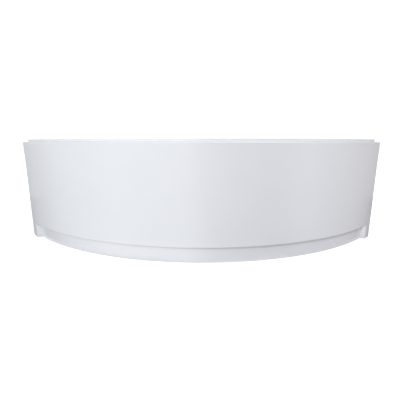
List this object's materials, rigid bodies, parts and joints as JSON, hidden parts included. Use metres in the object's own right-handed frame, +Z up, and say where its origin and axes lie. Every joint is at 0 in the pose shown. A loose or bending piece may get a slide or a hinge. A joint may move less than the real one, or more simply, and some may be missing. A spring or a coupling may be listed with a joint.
{
  "type": "bath panel",
  "caption": "Curved front panel of a quarter-round corner bath, formed from one sheet of gloss white acrylic, with a set-back lip along the top and a toe recess along the floor.",
  "frame": {"origin": "centre of the bounding box's bottom, on the floor", "axes": "+Z up, -Y out of the convex face towards the room, +X along the panel's width to the right for someone who faces it"},
  "size_m": [2.0422, 0.453, 0.574],
  "materials": {
    "acrylic": "gloss"
  },
  "bodies": {
    "root": {"bath_panel": "acrylic"}
  },
  "joints": []
}
